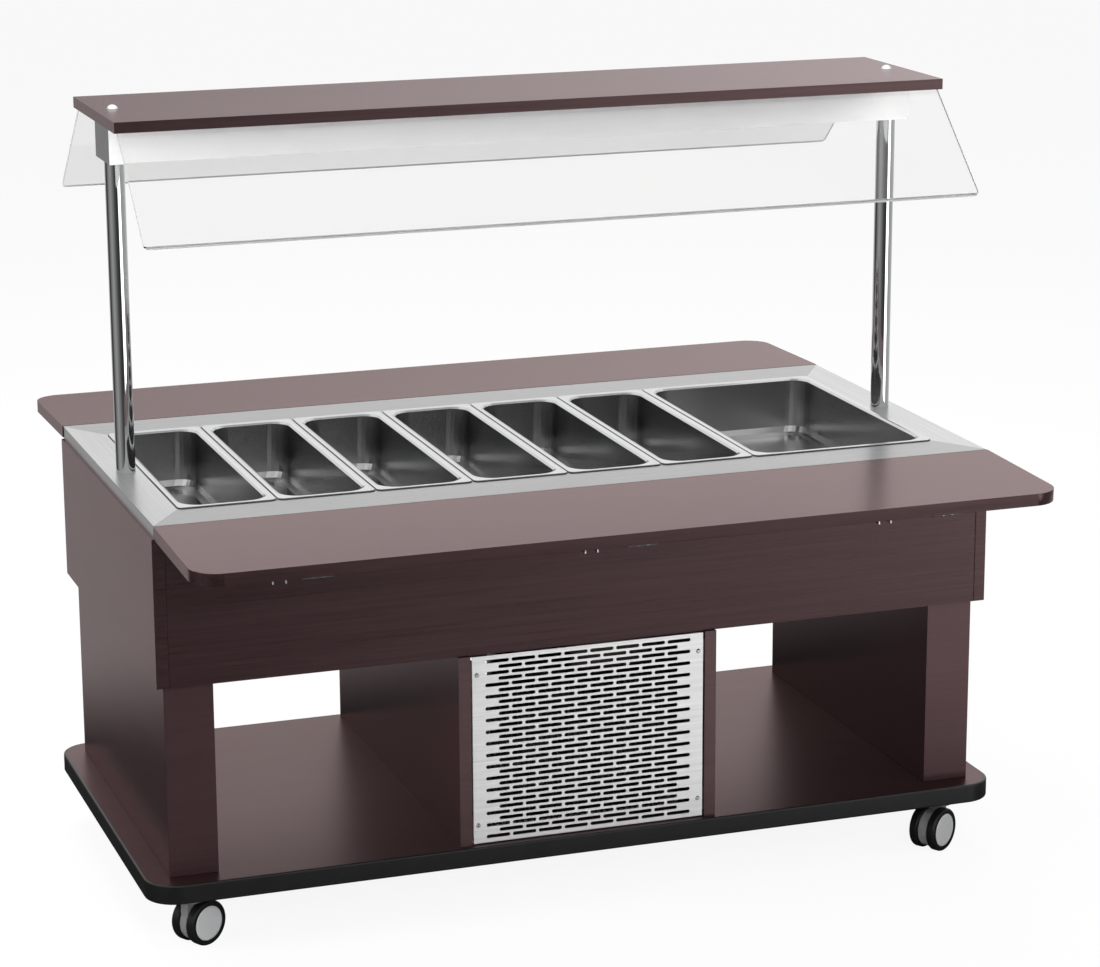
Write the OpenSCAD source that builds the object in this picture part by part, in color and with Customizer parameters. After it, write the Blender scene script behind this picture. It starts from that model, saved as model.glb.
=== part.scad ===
// Refrigerated buffet trolley: a counter body on two box pedestals and a castor base,
// a cooled well with gastronorm pans, two fold-down shelves and a lit canopy with glass panes.
// X runs along the trolley, -Y is the front, Z is up and the floor is at zero.

/* [Pans and well] */
// Length of a pan over its rim, across the trolley
pan_len = 530; // [500:1:560]
// Pitch of one narrow pan along the trolley
pan_pitch = 162.5; // [150:0.5:180]
// Gap between the rims of two pans
pan_gap = 0.8; // [0.4:0.1:2]
// Depth of the pans below the steel top
pan_depth = 100; // [60:1:140]
// Sheet thickness of the pans
pan_wall = 1; // [0.8:0.1:2]
// Width of the pan rim
pan_rim = 13; // [11:0.5:18]
// Corner radius of the pan rim
pan_corner = 10; // [6:1:16]
// Corner radius of the pan's mouth and walls
mouth_r = 32; // [22:1:40]
// How far the pan rims lie on the steel top
rim_lap = 9; // [6:0.5:10]
// Depth of the cooled well below the steel top
well_depth = 190; // [165:1:200]
// Width of the bars that carry the pans' long sides
bar_w = 14; // [10:1:18]
// Height of those bars
bar_h = 10; // [6:1:14]

/* [Counter body] */
// Steel surface between the row of pans and each end of the counter
end_band = 57; // [54:1:90]
// Steel surface between the pans and the front or rear edge
side_band = 86; // [70:1:120]
// Height of the steel top above the floor
counter_h = 711; // [690:1:900]
// Height of the turned-down edge of the steel top
lip_h = 21.5; // [16:0.5:30]
// Sheet thickness of the steel top and the well
sheet = 1.5; // [1:0.1:2.5]
// How far each end panel stands out past the steel top
panel_reveal = 4.4; // [0:0.2:4.6]
// Height of the wooden counter body
body_h = 241; // [236:1:300]
// Thickness of the end panels
end_t = 20; // [16:1:26]
// Thickness of the front and rear aprons
apron_t = 19; // [16:1:24]
// Thickness of the body floor
floor_t = 18; // [14:1:22]

/* [Base and pedestals] */
// Overall length of the base over its bumper
base_len = 1472; // [1440:2:1560]
// Overall depth of the base over its bumper
base_dep = 740; // [716:2:840]
// Thickness of the base board and height of its bumper
base_t = 32; // [26:1:40]
// Outer corner radius of the base
base_r = 52; // [36:1:80]
// How far the bumper stands out from the board
bumper_w = 4; // [3.5:0.5:14]
// Rounding of the bumper's outer edges
bumper_r = 3; // [1:0.5:3]
// Width of each pedestal along the trolley
pedestal_w = 80; // [60:1:120]
// Depth of the pedestals
pedestal_dep = 660; // [560:2:700]
// How far the pedestals stand in from the end panels' faces
pedestal_inset = 14.5; // [0:0.5:40]
// Board thickness of the pedestals
pedestal_t = 18; // [12:1:22]

/* [Machine compartment] */
// Width of the compartment inside its side boards
comp_w = 404; // [380:2:460]
// Thickness of the compartment's side boards
side_t = 20; // [16:1:24]
// How far the side boards stand out past the aprons
comp_out = 6; // [0:0.5:7]
// Gap between a grille and the boards beside and above it
grille_gap = 3; // [1.5:0.5:5]
// Gap between a grille and the base board
grille_foot = 2; // [1:0.5:16]
// Length of one grille slot
slot_len = 40.5; // [30:0.5:42]
// Width of one grille slot
slot_w = 6; // [3:0.1:7]
// Pitch of the slots along a row
slot_pitch = 44.8; // [43:0.1:48]
// Pitch of the rows, rounded so that whole rows fill the sheet
row_pitch = 9.9; // [8:0.1:14]
// Distance from the first and last rows to the edges of the slotted sheet
row_margin = 10; // [7:0.5:20]
// Diameter of the condenser fan
fan_d = 190; // [140:2:200]
// Diameter of the compressor's can
can_d = 150; // [120:2:170]

/* [Fold-down shelves] */
// How far a shelf stands out past each end of the steel top
shelf_reveal = 1.5; // [0:0.1:4.4]
// Depth of a shelf
shelf_dep = 271; // [262:1:290]
// Thickness of a shelf
shelf_t = 20; // [16:1:24]
// Radius of a shelf's outer corners
shelf_r = 45; // [20:1:70]
// Gap between a shelf and the counter
shelf_gap = 1; // [0.8:0.1:2]
// How much an opened shelf slopes down to its outer edge, in degrees
droop = 1.33; // [0:0.01:3]
// Spacing of the three folding brackets
bracket_pitch = 516; // [300:2:620]
// Distance from the brackets' hinge pin to the apron
hinge_out = 10; // [9.5:0.1:11]
// Distance from the brackets' hinge pin up to the shelf
hinge_down = 12; // [11.5:0.1:13]
// Distance from the hinge pin down to the stay's lower pivot
stay_drop = 60; // [50:1:64]
// Distance from the hinge pin out to the stay's upper pivot
stay_reach = 150; // [140:1:170]
// Length of a shelf arm from the hinge pin
arm_len = 240; // [215:1:250]
// Diameter of the bracket pins
pin_d = 6; // [5:0.1:6.5]

/* [Canopy] */
// Height of the canopy's upper face above the floor
canopy_h = 1306; // [1200:1:1500]
// Length of the canopy board
canopy_len = 1410; // [1406:2:1500]
// Depth of the canopy board
canopy_dep = 314; // [304:1:360]
// Thickness of the canopy board
canopy_t = 17.5; // [15:0.5:25]
// Length of the light box
box_len = 1385; // [1384:1:1400]
// Depth of the light box
box_dep = 103; // [80:1:140]
// Height of the light box
box_h = 65; // [50:1:80]
// Diameter of the posts
post_d = 32; // [26:1:34]
// Wall of the posts
post_wall = 1.5; // [1:0.1:3]
// Distance from the middle of the trolley to a post
post_x = 674; // [672:0.5:674]
// Length of the glass panes
glass_len = 1398; // [1200:2:1402]
// Thickness of the glass panes
glass_t = 5; // [4:0.5:8]
// Slanted width of the glass panes below the canopy
glass_w = 229; // [150:1:260]
// Angle of the panes from the vertical
glass_tilt = 47.7; // [30:0.1:55]
// Distance from the middle of the canopy to a pane, at the board
glass_y = 146; // [120:1:148]

/* [Castors] */
// Diameter of the castor wheels
wheel_d = 75; // [60:1:80]
// Width of one castor wheel
wheel_w = 16; // [12:0.5:20]
// Gap between the two wheels of a castor
wheel_gap = 18; // [14:0.5:24]
// Height of a castor from the floor to the base board
castor_h = 96; // [92:1:110]
// Distance from the end of the base in to a castor's swivel
castor_end_in = 76; // [72:1:120]
// Distance from the front or rear of the base in to a castor's swivel
castor_side_in = 67; // [60:1:110]
// Offset of the wheels from the swivel
trail = 18; // [10:1:24]

/* [Hidden] */
$fn = 64;

wood = "#5d4446";
steel = "#c9c9cc";
zinc = "#b0b3b6";
black = "#202022";
grey = "#909294";
fit = 0.05;
clear = 0.3;

narrow_pans = 6;
row_len = (narrow_pans + 2) * pan_pitch;
steel_len = row_len + 2 * end_band;
body_dep = pan_len + 2 * side_band;
body_len = steel_len + 2 * panel_reveal;
body_top = counter_h - lip_h;
body_low = body_top - body_h;
inner_x = body_len / 2 - end_t;
inner_y = body_dep / 2 - apron_t;
base_top = castor_h + base_t;
castor_x = base_len / 2 - castor_end_in;
castor_y = base_dep / 2 - castor_side_in;
cut_len = row_len - 2 * rim_lap;
cut_dep = pan_len - 2 * rim_lap;
cut_r = 14;
well_gap = 3;
well_r = 30;
flange_w = 6;
foam_t = 40;
under_board = canopy_h - canopy_t;
front = -body_dep / 2;

// Flat shapes

module rounded_rect(l, d, r) {
    square([l - 2 * r, d], center = true);
    square([l, d - 2 * r], center = true);
    for (sx = [-1, 1], sy = [-1, 1])
        translate([sx * (l / 2 - r), sy * (d / 2 - r)]) circle(r);
}

module rounded_block(l, d, h, r) {
    linear_extrude(h) rounded_rect(l, d, r);
}

module block(from, to) {
    translate(from) cube(to - from);
}

// A round bar along X from x0 to x1, through the given y and z
module x_bar(x0, x1, y, z, d) {
    translate([x0, y, z]) rotate([0, 90, 0]) cylinder(h = x1 - x0, d = d);
}

// Base with its bumper

module base_board() {
    color(wood) translate([0, 0, castor_h])
        rounded_block(base_len - 2 * bumper_w, base_dep - 2 * bumper_w, base_t, base_r - bumper_w);
}

module bumper_profile() {
    square([bumper_w - bumper_r, base_t]);
    translate([0, bumper_r]) square([bumper_w, base_t - 2 * bumper_r]);
    for (y = [bumper_r, base_t - bumper_r]) intersection() {
        translate([bumper_w - bumper_r, y]) circle(bumper_r);
        square([bumper_w, base_t]);
    }
}

module bumper() {
    size = [base_len, base_dep];
    color(black) translate([0, 0, castor_h]) {
        for (side = [0:3]) {
            run = size[(side + 1) % 2] - 2 * base_r;
            rotate([0, 0, side * 90]) translate([size[side % 2] / 2 - bumper_w, run / 2, 0])
                rotate([90, 0, 0]) linear_extrude(run) bumper_profile();
        }
        for (c = [[1, 1, 0], [-1, 1, 90], [-1, -1, 180], [1, -1, 270]])
            translate([c[0] * (base_len / 2 - base_r), c[1] * (base_dep / 2 - base_r), 0])
                rotate([0, 0, c[2]]) rotate_extrude(angle = 90)
                    translate([base_r - bumper_w, 0]) bumper_profile();
    }
}

// Twin-wheel castors. Each is drawn with its swivel on the Z axis and its axle along X.

castors = [[-1, -1, -61], [1, -1, 122], [-1, 1, -90], [1, 1, 20]];
plate_side = 70;
plate_t = 4;
swivel_pin_d = 12;
collar_d = 44;
hub_d = 57;
axle_d = 8;
tyre_round = 4;
cap_dome = 1.2;
neck_w = wheel_gap - 1.6;

module at_castor(i) {
    translate([castors[i][0] * castor_x, castors[i][1] * castor_y, 0])
        rotate([0, 0, castors[i][2]]) children();
}

module at_axle() {
    translate([0, trail, wheel_d / 2]) rotate([0, 90, 0]) children();
}

module castor_plates() {
    color(zinc) for (c = castors) translate([c[0] * castor_x, c[1] * castor_y, 0]) {
        translate([-plate_side / 2, -plate_side / 2, castor_h - plate_t])
            cube([plate_side, plate_side, plate_t]);
        translate([0, 0, wheel_d + 5]) cylinder(h = castor_h - plate_t - wheel_d - 5, d = swivel_pin_d);
    }
}

module castor_housing(i) {
    color(grey) at_castor(i) difference() {
        union() {
            at_axle() cylinder(h = neck_w, d = wheel_d - 9, center = true);
            block([-neck_w / 2, -swivel_pin_d, wheel_d / 2], [neck_w / 2, trail, wheel_d + 3]);
            translate([0, 0, wheel_d + 2])
                cylinder(h = castor_h - plate_t - clear - wheel_d - 2, d = collar_d);
        }
        at_axle() cylinder(h = wheel_gap, d = axle_d + 2 * fit, center = true);
        translate([0, 0, wheel_d + 5 - clear])
            cylinder(h = castor_h - wheel_d, d = swivel_pin_d + 2 * fit);
    }
}

module tyre_profile() {
    inner = hub_d / 2 + fit;
    outer = wheel_d / 2;
    translate([inner, 0]) square([outer - tyre_round - inner, wheel_w]);
    translate([inner, tyre_round]) square([outer - inner, wheel_w - 2 * tyre_round]);
    for (y = [tyre_round, wheel_w - tyre_round]) translate([outer - tyre_round, y]) circle(tyre_round);
}

module castor_tyres(i) {
    color(black) at_castor(i) at_axle() for (s = [0, 1])
        mirror([0, 0, s]) translate([0, 0, wheel_gap / 2]) rotate_extrude() tyre_profile();
}

module castor_hubs(i) {
    color(grey) at_castor(i) at_axle() {
        cylinder(h = wheel_gap + 2, d = axle_d, center = true);
        for (s = [0, 1]) mirror([0, 0, s]) translate([0, 0, wheel_gap / 2]) {
            cylinder(h = wheel_w - 1, d = hub_d);
            translate([0, 0, wheel_w - 1]) cylinder(h = cap_dome, d1 = hub_d, d2 = hub_d - 6);
        }
    }
}

// Pedestals: two hollow box columns between the base and the counter body

pedestal_x = body_len / 2 - pedestal_inset - pedestal_w / 2;

module pedestals() {
    h = body_low - base_top;
    color(wood) for (s = [-1, 1]) translate([s * pedestal_x, 0, base_top]) difference() {
        translate([-pedestal_w / 2, -pedestal_dep / 2, 0]) cube([pedestal_w, pedestal_dep, h]);
        translate([-pedestal_w / 2 + pedestal_t, -pedestal_dep / 2 + pedestal_t, -1])
            cube([pedestal_w - 2 * pedestal_t, pedestal_dep - 2 * pedestal_t, h + 2]);
    }
}

// Machine compartment with its side boards and stainless grilles

grille_l = comp_w - 2 * grille_gap;
grille_low = base_top + grille_foot;
grille_h = body_low - grille_gap / 2 - grille_low;
grille_t = 1.5;
grille_fold = 12;
comp_half = body_dep / 2 + comp_out;
grille_face = comp_half - 1;
cleat = 18;
cleat_h = 40;
screw_in = 8;
screw_up = 31;
screw_d = 4;
screw_head_d = 8;
control_zone = 78;

module compartment_sides() {
    seat = grille_face - grille_t;
    color(wood) difference() {
        for (s = [-1, 1]) {
            translate([s * (comp_w + side_t) / 2, 0, 0])
                block([-side_t / 2, -comp_half, base_top], [side_t / 2, comp_half, body_low]);
            for (e = [-1, 1], z = [grille_low + screw_up, grille_low + grille_h - screw_up])
                translate([s * (comp_w / 2 - cleat / 2), e * (seat - cleat / 2), z])
                    cube([cleat, cleat, cleat_h], center = true);
        }
        for (e = [0, 1]) mirror([0, e, 0]) at_grille_screws()
            cylinder(h = cleat, d = screw_d, center = true);
    }
}

// Puts its children on the four screw axes of the front grille, pointing forward
module at_grille_screws() {
    for (s = [-1, 1], z = [grille_low + screw_up, grille_low + grille_h - screw_up])
        translate([s * (grille_l / 2 - screw_in), -grille_face, z]) rotate([90, 0, 0]) children();
}

module slot_shape() {
    square([slot_len - slot_w, slot_w], center = true);
    for (s = [-1, 1]) translate([s * (slot_len - slot_w) / 2, 0]) circle(d = slot_w);
}

// A grille sheet drawn flat, with its slotted rows from the bottom up to the given height
module grille_sheet(slotted_h) {
    rows = round((slotted_h - 2 * row_margin) / row_pitch) + 1;
    pitch = (slotted_h - 2 * row_margin) / (rows - 1);
    full = floor((grille_l - 12) / slot_pitch);
    difference() {
        translate([-grille_l / 2, 0]) square([grille_l, grille_h]);
        for (r = [0:rows - 1]) {
            n = full - r % 2;
            for (k = [0:n - 1])
                translate([(k - (n - 1) / 2) * slot_pitch, row_margin + r * pitch]) slot_shape();
        }
    }
}

module grille_folds() {
    for (s = [-1, 1]) translate([s * (grille_l - grille_t) / 2, 0, 0])
        block([-grille_t / 2, grille_t, screw_up + cleat_h / 2 + 2],
              [grille_t / 2, grille_fold, grille_h - screw_up - cleat_h / 2 - 2]);
    block([-grille_l / 2, 0, 0], [grille_l / 2, grille_fold, grille_t]);
}

module front_grille() {
    color(steel) translate([0, -grille_face, grille_low]) {
        translate([0, grille_t, 0]) rotate([90, 0, 0]) linear_extrude(grille_t) difference() {
            grille_sheet(grille_h);
            for (s = [-1, 1], z = [screw_up, grille_h - screw_up])
                translate([s * (grille_l / 2 - screw_in), z]) circle(d = screw_d + clear);
        }
        grille_folds();
    }
}

// The rear panel is the same grille with a plain upper zone for the controls

control_x = 0;
control_w = 172;
control_h = 46;
control_body_w = 164;
control_body_h = 38;
control_z = grille_h - control_zone / 2 - 6;
gland_x = 150;
gland_z = control_z - 2;
gland_d = 16;

module rear_panel() {
    color(steel) mirror([0, 1, 0]) translate([0, -grille_face, grille_low]) {
        translate([0, grille_t, 0]) rotate([90, 0, 0]) linear_extrude(grille_t) difference() {
            grille_sheet(grille_h - control_zone);
            for (s = [-1, 1], z = [screw_up, grille_h - screw_up])
                translate([s * (grille_l / 2 - screw_in), z]) circle(d = screw_d + clear);
            translate([control_x, control_z])
                square([control_body_w + 2 * clear, control_body_h + 2 * clear], center = true);
            translate([gland_x, gland_z]) circle(d = gland_d + clear);
        }
        grille_folds();
    }
}

module panel_screws() {
    head = 2;
    color(zinc) for (e = [0, 1]) mirror([0, e, 0]) at_grille_screws() {
        translate([0, 0, -cleat / 2 + 1]) cylinder(h = cleat / 2 - 1, d = screw_d - 2 * fit);
        difference() {
            cylinder(h = head, d1 = screw_head_d, d2 = screw_head_d - 3);
            translate([0, 0, head - 0.7]) for (a = [0, 90]) rotate([0, 0, a])
                translate([-2, -0.5, 0]) cube([4, 1, 1]);
        }
    }
}

// Controls: a fascia with a display window and two rocker switches

rocker_w = 13;
rocker_h = 24;
rocker_tilt = 6;
rocker_t = 7;
rocker_pin_d = 3;
rocker_x = [-58, -36];
fascia_t = 3;
display_x = 30;

module at_control() {
    translate([control_x, grille_face, grille_low + control_z]) children();
}

module control_unit() {
    color(black) at_control() difference() {
        union() {
            block([-control_w / 2, 0, -control_h / 2], [control_w / 2, fascia_t, control_h / 2]);
            block([-control_body_w / 2, -45, -control_body_h / 2],
                  [control_body_w / 2, 0, control_body_h / 2]);
        }
        for (x = rocker_x) translate([x, 0, 0]) {
            block([-rocker_w / 2 - clear, -14, -rocker_h / 2 - 1.5],
                  [rocker_w / 2 + clear, fascia_t + 1, rocker_h / 2 + 1.5]);
            x_bar(-rocker_w / 2 - 2.5, rocker_w / 2 + 2.5, 0, 0, rocker_pin_d + 2 * fit);
        }
        translate([display_x, fascia_t, 0]) cube([70, 2.4, 26], center = true);
    }
}

module rocker(x) {
    color("#b02a24") at_control() translate([x, 0, 0]) rotate([-rocker_tilt, 0, 0]) {
        for (s = [-1, 1]) rotate([s * rocker_tilt, 0, 0])
            block([-rocker_w / 2, -rocker_t / 2, s > 0 ? -rocker_h / 2 : 0],
                  [rocker_w / 2, rocker_t / 2, s > 0 ? 0 : rocker_h / 2]);
        x_bar(-rocker_w / 2 - 2, rocker_w / 2 + 2, 0, 0, rocker_pin_d);
        x_bar(-rocker_w / 2, rocker_w / 2, 0, 0, rocker_t);
    }
}

module power_switch() {
    rocker(rocker_x[0]);
}

module light_switch() {
    rocker(rocker_x[1]);
}

module cable_gland() {
    color(black) translate([gland_x, grille_face, grille_low + gland_z]) rotate([-90, 0, 0])
        difference() {
            union() {
                translate([0, 0, -14]) cylinder(h = 14, d = gland_d);
                cylinder(h = 4, d = gland_d + 8, $fn = 6);
                translate([0, 0, 4]) cylinder(h = 10, d1 = gland_d + 4, d2 = gland_d - 3);
                translate([0, 0, -grille_t - 5]) cylinder(h = 5, d = gland_d + 7, $fn = 6);
            }
            translate([0, 0, -20]) cylinder(h = 50, d = 8);
        }
}

// Condensing unit on its tray

tray_l = 372;
tray_d = 560;
tray_t = 2;
tray_h = 14;
cond_l = 300;
cond_d = 56;
cond_h = 236;
cond_y = front + 62;
cond_low = base_top + tray_t;
fan_z = cond_low + cond_h / 2;
shroud_d = 34;
shroud_y = cond_y + cond_d;
fan_gap = 4;
motor_d = 84;
motor_l = 62;
shaft_d = 8;
hub_l = 22;
can_y = 120;
can_x = 60;
can_h = 165;

module unit_tray() {
    color(zinc) translate([0, 0, base_top]) difference() {
        block([-tray_l / 2, -tray_d / 2, 0], [tray_l / 2, tray_d / 2, tray_h]);
        block([-tray_l / 2 + tray_t, -tray_d / 2 - 1, tray_t], [tray_l / 2 - tray_t, tray_d / 2 + 1, tray_h + 1]);
    }
}

module compressor() {
    foot = 12;
    low = base_top + tray_t;
    color(black) translate([can_x, can_y, low]) {
        for (a = [45:90:315]) rotate([0, 0, a]) translate([can_d / 2 + 8, 0, 0]) cylinder(h = foot, d = 24);
        translate([0, 0, foot]) for (a = [45, 135]) rotate([0, 0, a])
            block([-can_d / 2 - 20, -16, 0], [can_d / 2 + 20, 16, 4]);
        translate([0, 0, foot]) rotate_extrude() {
            square([can_d / 2 - 14, can_h]);
            square([can_d / 2, can_h - 34]);
            intersection() {
                translate([can_d / 2 - 34, can_h - 34]) circle(34);
                square([can_d / 2, can_h]);
            }
            translate([0, can_h * 0.55]) square([can_d / 2 + 4, 5]);
        }
        translate([-can_d / 2 - 14, -24, foot + 30]) cube([30, 48, 62]);
    }
}

module condenser() {
    fins = 30;
    pitch = (cond_l - 4) / fins;
    color("#a8acb0") {
        translate([-cond_l / 2, cond_y, cond_low]) {
            for (k = [0:fins]) translate([k * pitch, 0, 0])
                cube([k == 0 || k == fins ? 2 : 0.8, cond_d, cond_h]);
            for (r = [0:5], c = [0, 1])
                translate([0, cond_d * (0.3 + 0.4 * c), cond_h * (r + 0.5) / 6]) rotate([0, 90, 0])
                    cylinder(h = cond_l - 2, d = 10);
            block([0, cond_d, 0], [cond_l - 2, cond_d + 1.5, cond_h / 2 - fan_d / 2 - fan_gap]);
            block([0, cond_d, cond_h / 2 + fan_d / 2 + fan_gap], [cond_l - 2, cond_d + 1.5, cond_h]);
        }
        // Shroud plate with a ring round the fan
        difference() {
            union() {
                block([-cond_l / 2, shroud_y, cond_low], [cond_l / 2 - 2, shroud_y + 1.5, cond_low + cond_h]);
                translate([0, shroud_y, fan_z]) rotate([-90, 0, 0])
                    cylinder(h = shroud_d, d = fan_d + 2 * fan_gap + 3);
            }
            translate([0, shroud_y - 1, fan_z]) rotate([-90, 0, 0])
                cylinder(h = shroud_d + 2, d = fan_d + 2 * fan_gap);
        }
        // Three arms that carry the motor
        for (a = [90, 210, 330]) translate([0, shroud_y + shroud_d, fan_z]) rotate([-90, 0, 0])
            rotate([0, 0, a]) block([motor_d / 2 - 6, -6, -2], [fan_d / 2 + fan_gap + 1.5, 6, 0]);
    }
}

module fan_motor() {
    y0 = shroud_y + shroud_d;
    color(black) translate([0, y0, fan_z]) rotate([-90, 0, 0]) {
        cylinder(h = motor_l, d = motor_d);
        translate([0, 0, motor_l]) cylinder(h = 6, d1 = motor_d, d2 = motor_d - 16);
        translate([0, 0, -hub_l - 2]) cylinder(h = hub_l + 2, d = shaft_d);
    }
}

module fan_blades() {
    y0 = shroud_y + shroud_d - 4;
    color("#3a3d40") translate([0, y0, fan_z]) rotate([90, 0, 0]) difference() {
        union() {
            cylinder(h = hub_l, d = 46);
            intersection() {
                for (a = [0:72:288]) rotate([0, 0, a]) translate([fan_d / 4 + 8, 0, hub_l / 2])
                    rotate([28, 0, 0]) cube([fan_d / 2, 52, 1.6], center = true);
                cylinder(h = hub_l, d = fan_d);
            }
        }
        translate([0, 0, -1]) cylinder(h = hub_l + 2, d = shaft_d + 2 * fit);
    }
}

// Wooden counter body

module end_panels() {
    color(wood) for (s = [-1, 1]) translate([s * (body_len - end_t) / 2, 0, 0])
        block([-end_t / 2, front, body_low], [end_t / 2, -front, body_top]);
}

module front_apron() {
    color(wood) block([-inner_x, front, body_low], [inner_x, front + apron_t, body_top]);
}

module rear_apron() {
    color(wood) mirror([0, 1, 0]) front_apron();
}

module body_floor() {
    color(wood) difference() {
        block([-inner_x, -inner_y, body_low], [inner_x, inner_y, body_low + floor_t]);
        translate([-comp_w / 4, inner_y / 2, body_low - 1]) cylinder(h = floor_t + 2, d = 50);
    }
}

// Cooled well under the steel top

well_l = cut_len + 2 * well_gap;
well_d = cut_dep + 2 * well_gap;
well_low = counter_h - sheet - well_depth;
well_top = counter_h - sheet;

module well_liner() {
    outer_l = well_l + 2 * sheet;
    outer_d = well_d + 2 * sheet;
    color(steel) difference() {
        union() {
            translate([0, 0, well_low - sheet])
                rounded_block(outer_l, outer_d, well_top - well_low + sheet, well_r + sheet);
            translate([0, 0, well_top - sheet])
                rounded_block(outer_l + 2 * flange_w, outer_d + 2 * flange_w, sheet, well_r + sheet + flange_w);
        }
        translate([0, 0, well_low]) rounded_block(well_l, well_d, well_depth + 1, well_r);
    }
}

module insulation() {
    outer_l = well_l + 2 * sheet + 2 * clear;
    outer_d = well_d + 2 * sheet + 2 * clear;
    low = body_low + floor_t;
    color("#e8dfb8") difference() {
        block([-inner_x, -outer_d / 2 - foam_t, low], [inner_x, outer_d / 2 + foam_t, well_top - sheet]);
        translate([0, 0, well_low - sheet])
            rounded_block(outer_l, outer_d, well_depth + 10, well_r + sheet + clear);
        for (s = [-1, 1]) translate([s * post_x, 0, low - 1]) {
            cylinder(h = body_h + 2, d = post_d + 4);
            block([s > 0 ? 0 : -end_band, -post_d / 2 - 2, 0],
                  [s > 0 ? end_band : 0, post_d / 2 + 2, body_h + 2]);
        }
    }
}

// Steel top with its turned-down edges, its cut-out and the small ledges that carry the bars

ledge_w = 8;
bar_low = counter_h - bar_h;

// Middle of the bar between two pans
function bar_x(k) = -row_len / 2 + k * pan_pitch;

module steel_top() {
    color(steel) {
        difference() {
            block([-steel_len / 2, front, body_top], [steel_len / 2, -front, counter_h]);
            block([-steel_len / 2 + sheet, front + sheet, body_top - 1],
                  [steel_len / 2 - sheet, -front - sheet, well_top]);
            translate([0, 0, body_top]) rounded_block(cut_len, cut_dep, lip_h + 1, cut_r);
            for (s = [-1, 1]) translate([s * post_x, 0, body_top])
                cylinder(h = lip_h + 1, d = post_d + 2 * clear);
        }
        for (s = [0, 1], k = [1:narrow_pans]) mirror([0, s, 0]) translate([bar_x(k), -cut_dep / 2, 0]) {
            block([-bar_w / 2, -sheet, bar_low - sheet], [bar_w / 2, 0, well_top]);
            block([-bar_w / 2, -sheet, bar_low - sheet], [bar_w / 2, ledge_w, bar_low]);
        }
    }
}

module pan_bars() {
    half = cut_dep / 2 - clear;
    color(steel) for (k = [1:narrow_pans])
        translate([bar_x(k), 0, 0]) difference() {
            block([-bar_w / 2, -half, bar_low], [bar_w / 2, half, counter_h]);
            block([-bar_w / 2 + sheet, -half + ledge_w + 4, bar_low - 1],
                  [bar_w / 2 - sheet, half - ledge_w - 4, counter_h - sheet]);
        }
}

// Gastronorm pans: each is one closed shell lofted through rounded rectangles

ring_points = 8;
pan_draft = 4;
pan_foot = 14;

// One rounded rectangle as a ring of points at height z
function ring(l, d, r, z) = [
    for (q = [0:3], k = [0:ring_points - 1])
        let (a = q * 90 + k * 90 / (ring_points - 1),
             cx = (q == 0 || q == 3 ? 1 : -1) * (l / 2 - r),
             cy = (q < 2 ? 1 : -1) * (d / 2 - r))
        [cx + r * cos(a), cy + r * sin(a), z]];

// The shell's profile: inset from the rim, height and corner radius of each ring,
// from the rim's underside down the outside, then up the inside and out over the rim
function pan_profile(h) =
    let (wall = pan_rim + pan_draft, inner = wall + pan_wall, flat = wall + pan_foot + 10) concat(
        [[0.8, 0, pan_corner - 0.8], [pan_rim - 3, 0, mouth_r + 3]],
        [[pan_rim, -2.5, mouth_r]],
        [for (a = [0, 45, 90]) [wall + pan_foot * (1 - cos(a)), -h + pan_foot * (1 - sin(a)), mouth_r]],
        [[flat, -h, mouth_r - 6], [flat, -h + pan_wall, mouth_r - 6]],
        [for (a = [90, 45, 0]) [inner + pan_foot * (1 - cos(a)),
            -h + pan_wall + pan_foot * (1 - sin(a)), mouth_r - pan_wall]],
        [[pan_rim + pan_wall, -1.5, mouth_r - pan_wall]],
        [[pan_rim - 2.2, 1.2, mouth_r + 2.2], [pan_rim - 5, 2, mouth_r + 5]],
        [[1.6, 2, pan_corner - 1.6], [0, 1, pan_corner]]);

module pan_shell(l, d, h) {
    profile = pan_profile(h);
    n = 4 * ring_points;
    rows = len(profile);
    points = [for (p = profile) for (v = ring(l - 2 * p[0], d - 2 * p[0], p[2], p[1])) v];
    // Rings join into one closed tube, except between the two floors, which get caps
    floor_row = 6;
    sides = [for (i = [0:rows - 1]) if (i != floor_row) for (k = [0:n - 1])
        let (j = (i + 1) % rows, m = (k + 1) % n)
        each [[i * n + k, i * n + m, j * n + m], [i * n + k, j * n + m, j * n + k]]];
    low_cap = [for (k = [1:n - 2]) [floor_row * n, floor_row * n + k, floor_row * n + k + 1]];
    high_cap = [for (k = [1:n - 2])
        [(floor_row + 1) * n, (floor_row + 1) * n + k + 1, (floor_row + 1) * n + k]];
    polyhedron(points, concat(sides, low_cap, high_cap));
}

module pan(i) {
    wide = i > narrow_pans;
    l = (wide ? 2 * pan_pitch : pan_pitch) - pan_gap;
    x = wide ? row_len / 2 - pan_pitch : -row_len / 2 + (i - 0.5) * pan_pitch;
    color("#d6d6d8") translate([x, 0, counter_h]) pan_shell(l, pan_len, pan_depth);
}

// Canopy with its light box, glass panes and posts

stud_d = 8;
nut_d = 18;
nut_h = 6;
groove = 8;
window_in = 60;
window_rim = 15;
lamp_in = 95;
tube_d = 26;
batten_w = 46;
batten_h = 16;
batten_over = 20;

// Puts its children at the middle of a pane's upper edge, with X along the trolley
// and -Z running down the pane
module at_pane() {
    translate([0, -glass_y, under_board]) rotate([-glass_tilt, 0, 0]) children();
}

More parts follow.
